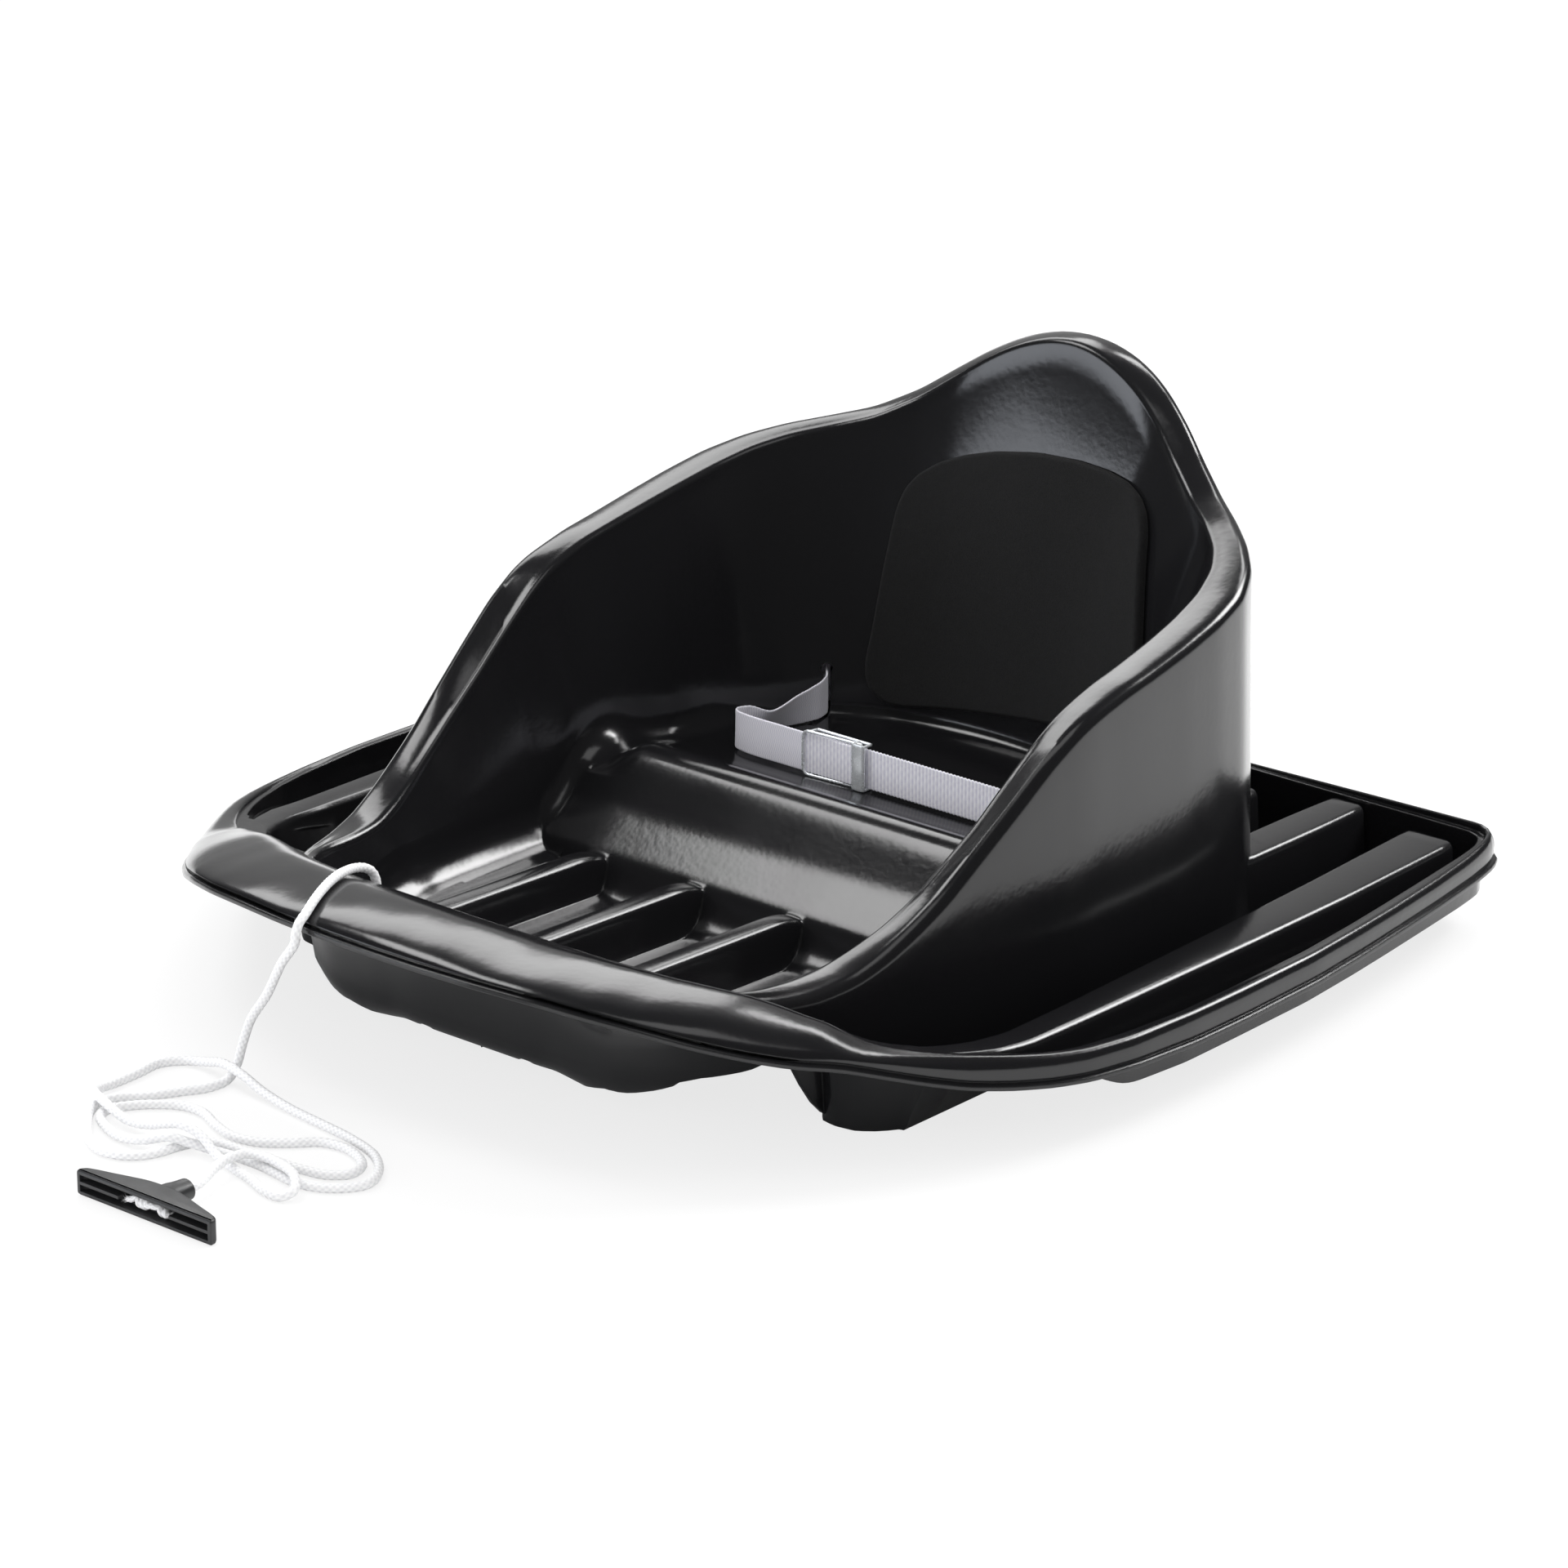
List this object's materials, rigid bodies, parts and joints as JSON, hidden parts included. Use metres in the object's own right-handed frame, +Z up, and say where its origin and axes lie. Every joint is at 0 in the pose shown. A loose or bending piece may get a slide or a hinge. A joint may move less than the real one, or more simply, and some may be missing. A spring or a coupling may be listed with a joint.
{
  "type": "baby pull sled",
  "caption": "Toddler pull sled: moulded bucket seat with foot well on a runner deck, foam back pad, lap belt with steel slide, rope and T-handle.",
  "frame": {"origin": "middle of the sled's box at the ground, the rope and its handle left out", "axes": "+Z up, -Y towards the upturned nose, +X to the rider's left"},
  "size_m": [0.584, 0.737, 0.274],
  "materials": {
    "black_plastic": "gloss",
    "foam": "matt",
    "webbing": "woven",
    "steel": "satin",
    "rope": "braided",
    "grey_plastic": "satin"
  },
  "bodies": {
    "sled": {"shell": "black_plastic", "back_pad": "foam", "belt_far": "webbing", "belt_near": "webbing", "pull_rope": "rope", "rope_stop_knot": "rope", "rope_handle": "grey_plastic", "handle_knot": "rope"},
    "slide": {"belt_slide": "steel"}
  },
  "joints": [
    {"name": "belt_slide_travel", "type": "slide", "parent": "sled", "child": "slide", "axis": [1, 0, 0], "range_m": [-0.015, 0.06]}
  ]
}
